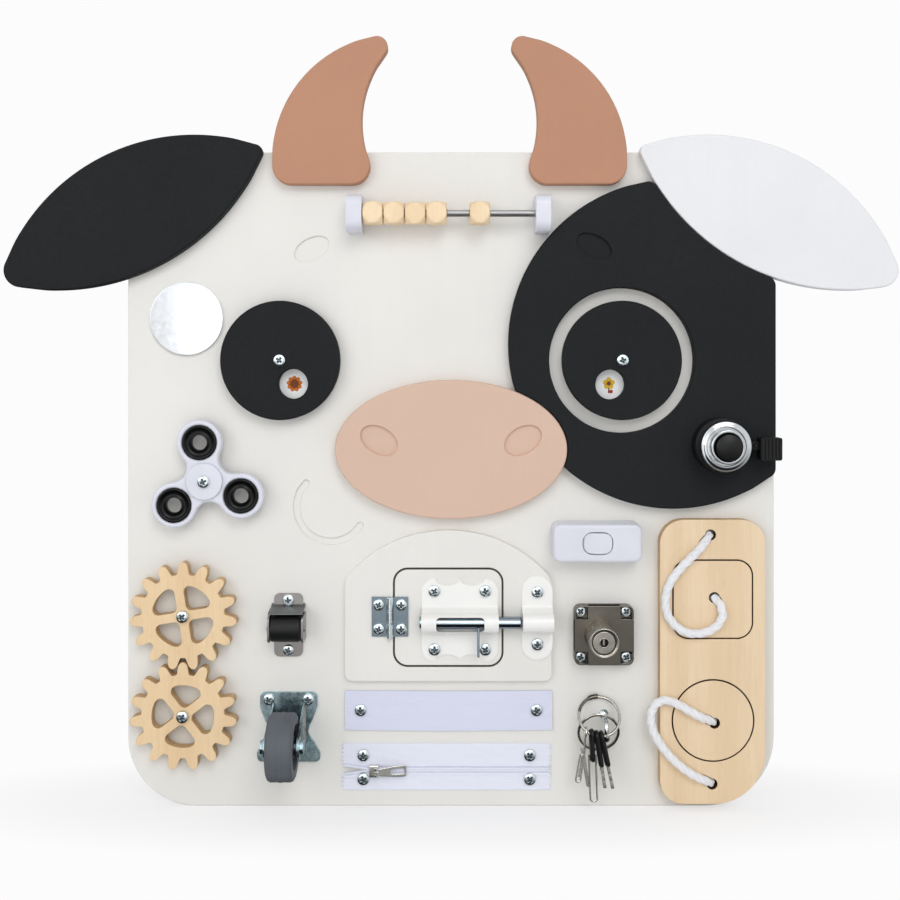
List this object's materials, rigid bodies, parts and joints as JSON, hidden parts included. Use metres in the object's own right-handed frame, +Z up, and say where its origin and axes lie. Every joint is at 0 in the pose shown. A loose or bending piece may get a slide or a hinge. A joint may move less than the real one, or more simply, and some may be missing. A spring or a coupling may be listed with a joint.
{
  "type": "busy board",
  "caption": "Wall-mounted wooden activity board shaped like a cow's head, with gears, a spinner, door, bolt, zip, bell, lock, keys, bead rail and rope puzzle.",
  "frame": {"origin": "centre of the board's flat back face", "axes": "+Y is the back face's outward normal, so the toys face -Y; +Z is up towards the horns; +X is to the viewer's right"},
  "size_m": [0.5762, 0.061, 0.4984],
  "materials": {
    "cream_paint": "satin white paint on plywood",
    "black_paint": "matt black paint on plywood",
    "pale_paint": "satin pale grey paint on plywood",
    "tan_paint": "matt tan paint on plywood",
    "pink_paint": "matt pink paint on plywood",
    "birch": "raw birch plywood",
    "mirror": "silvered acrylic",
    "zinc": "bright zinc plating",
    "nickel": "nickel plating",
    "chrome": "polished",
    "gunmetal": "dark satin plating",
    "white_plastic": "glossy",
    "white_metal": "white powder coat",
    "white_fabric": "white woven tape",
    "white_rope": "white twisted cord",
    "black_plastic": "black moulded",
    "grey_rubber": "grey tread"
  },
  "bodies": {
    "board": {"board_panel": "cream_paint", "ear_left": "black_paint", "ear_right": "pale_paint", "horn_left": "tan_paint", "horn_right": "tan_paint", "eye_patch": "black_paint", "nose_plate": "pink_paint", "mirror_disc": "mirror", "left_eye_screw": "zinc", "right_eye_screw": "zinc", "bead_bracket_left": "white_plastic", "bead_bracket_right": "white_plastic", "bead_rod": "zinc", "spinner_hub": "white_plastic", "gear_upper_screw": "zinc", "gear_lower_screw": "zinc", "roller_bracket": "zinc", "caster_bracket": "zinc", "door_frame": "cream_paint", "hinge_leaf_frame": "zinc", "latch_keeper": "white_metal", "strap_band": "white_fabric", "zipper_tape": "white_fabric", "switch_body": "white_plastic", "bell_base": "black_plastic", "bell_dome": "chrome", "lock_body": "gunmetal", "key_hook": "zinc", "puzzle_panel": "birch", "rope_upper": "white_rope", "rope_lower": "white_rope"},
    "left_eye": {"left_eye_disc": "black_paint"},
    "right_eye": {"right_eye_disc": "black_paint"},
    "first_bead": {"bead_1": "birch"},
    "second_bead": {"bead_2": "birch"},
    "third_bead": {"bead_3": "birch"},
    "fourth_bead": {"bead_4": "birch"},
    "fifth_bead": {"bead_5": "birch"},
    "spinner": {"spinner_body": "white_plastic"},
    "upper_gear": {"gear_upper": "birch"},
    "lower_gear": {"gear_lower": "birch"},
    "roller": {"roller_drum": "black_plastic"},
    "caster": {"caster_wheel": "grey_rubber"},
    "door": {"door_panel": "cream_paint", "hinge_leaf_door": "zinc", "latch_plate": "white_metal"},
    "bolt": {"latch_rod": "zinc"},
    "slider": {"zipper_slider": "nickel"},
    "pull": {"zipper_pull": "nickel"},
    "rocker": {"switch_rocker": "white_plastic"},
    "striker": {"bell_striker": "black_plastic"},
    "plug": {"lock_plug": "gunmetal"},
    "upper_ring": {"ring_upper": "nickel"},
    "lower_ring": {"ring_lower": "nickel"},
    "first_key": {"key_1": "nickel"},
    "second_key": {"key_2": "nickel"},
    "third_key": {"key_3": "nickel"},
    "fourth_key": {"key_4": "nickel"},
    "square": {"square_piece": "birch"},
    "round": {"round_piece": "birch"}
  },
  "joints": [
    {"name": "left_eye_spin", "type": "hinge", "parent": "board", "child": "left_eye", "pos_m": [-0.11, -0.01, 0.0771], "axis": [0, -1, 0], "continuous": true},
    {"name": "right_eye_spin", "type": "hinge", "parent": "board", "child": "right_eye", "pos_m": [0.11, -0.01, 0.0771], "axis": [0, -1, 0], "continuous": true},
    {"name": "first_bead_slide", "type": "slide", "parent": "board", "child": "first_bead", "axis": [1, 0, 0], "range_m": [0, 0.005]},
    {"name": "second_bead_slide", "type": "slide", "parent": "first_bead", "child": "second_bead", "axis": [1, 0, 0], "range_m": [0, 0.005]},
    {"name": "third_bead_slide", "type": "slide", "parent": "second_bead", "child": "third_bead", "axis": [1, 0, 0], "range_m": [0, 0.005]},
    {"name": "fourth_bead_slide", "type": "slide", "parent": "third_bead", "child": "fourth_bead", "axis": [1, 0, 0], "range_m": [0, 0.005]},
    {"name": "fifth_bead_slide", "type": "slide", "parent": "fourth_bead", "child": "fifth_bead", "axis": [1, 0, 0], "range_m": [-0.014, 0.008]},
    {"name": "spinner_spin", "type": "hinge", "parent": "board", "child": "spinner", "pos_m": [-0.1577, -0.01, -0.0003], "axis": [0, -1, 0], "continuous": true},
    {"name": "upper_gear_spin", "type": "hinge", "parent": "board", "child": "upper_gear", "pos_m": [-0.172, -0.01, -0.0871], "axis": [0, -1, 0], "continuous": true},
    {"name": "lower_gear_spin", "type": "hinge", "parent": "board", "child": "lower_gear", "pos_m": [-0.172, -0.01, -0.1513], "axis": [0, -1, 0], "continuous": true},
    {"name": "roller_spin", "type": "hinge", "parent": "board", "child": "roller", "pos_m": [-0.1055, -0.0215, -0.0945], "axis": [1, 0, 0], "continuous": true},
    {"name": "caster_spin", "type": "hinge", "parent": "board", "child": "caster", "pos_m": [-0.1052, -0.04, -0.1639], "axis": [1, 0, 0], "continuous": true},
    {"name": "door_swing", "type": "hinge", "parent": "board", "child": "door", "pos_m": [-0.0394, -0.0162, -0.089], "axis": [0, 0, -1], "range_deg": [0, 110]},
    {"name": "bolt_slide", "type": "slide", "parent": "door", "child": "bolt", "axis": [1, 0, 0], "range_m": [-0.023, 0.0025]},
    {"name": "zip_slide", "type": "slide", "parent": "board", "child": "slider", "axis": [1, 0, 0], "range_m": [0, 0.092]},
    {"name": "pull_flip", "type": "hinge", "parent": "slider", "child": "pull", "pos_m": [-0.04805, -0.0169, -0.1884], "axis": [0, 0, -1], "range_deg": [0, 150]},
    {"name": "rocker_tip", "type": "hinge", "parent": "board", "child": "rocker", "pos_m": [0.0933, -0.0256, -0.0393], "axis": [0, 0, 1], "range_deg": [0, 12]},
    {"name": "striker_push", "type": "hinge", "parent": "board", "child": "striker", "pos_m": [0.1931, -0.01, 0.023], "axis": [0, 1, 0], "range_deg": [0, 20], "stiffness_Nm_per_rad": 0.02},
    {"name": "plug_turn", "type": "hinge", "parent": "board", "child": "plug", "pos_m": [0.0955, -0.01, -0.0992], "axis": [0, -1, 0], "range_deg": [0, 180]},
    {"name": "upper_ring_swing", "type": "hinge", "parent": "board", "child": "upper_ring", "pos_m": [0.0991, -0.0273, -0.161], "axis": [0, 0.7852, -0.6192], "range_deg": [-8, 8]},
    {"name": "lower_ring_swing", "type": "hinge", "parent": "board", "child": "lower_ring", "pos_m": [0.0991, -0.0194, -0.15099], "axis": [0, 0.9563, 0.2924], "range_deg": [-8, 8]},
    {"name": "first_key_swing", "type": "hinge", "parent": "upper_ring", "child": "first_key", "pos_m": [0.0957, -0.02768, -0.16148], "axis": [-0.9781, 0, -0.2079], "range_deg": [0, 40]},
    {"name": "second_key_swing", "type": "hinge", "parent": "upper_ring", "child": "second_key", "pos_m": [0.0925, -0.02753, -0.16129], "axis": [-0.9877, 0, -0.1564], "range_deg": [0, 40]},
    {"name": "third_key_swing", "type": "hinge", "parent": "upper_ring", "child": "third_key", "pos_m": [0.0893, -0.02685, -0.16042], "axis": [-0.9994, 0, -0.0349], "range_deg": [0, 40]},
    {"name": "fourth_key_swing", "type": "hinge", "parent": "upper_ring", "child": "fourth_key", "pos_m": [0.0857, -0.0252, -0.15834], "axis": [-0.9877, 0, 0.1564], "range_deg": [0, 30]},
    {"name": "square_lift", "type": "slide", "parent": "board", "child": "square", "axis": [0, -1, 0], "range_m": [0, 0.02], "deforming": ["rope_upper"]},
    {"name": "round_lift", "type": "slide", "parent": "board", "child": "round", "axis": [0, -1, 0], "range_m": [0, 0.02], "deforming": ["rope_lower"]}
  ],
  "couplings": [
    {"joint": "lower_gear_spin", "follows": "upper_gear_spin", "ratio": -1}
  ]
}
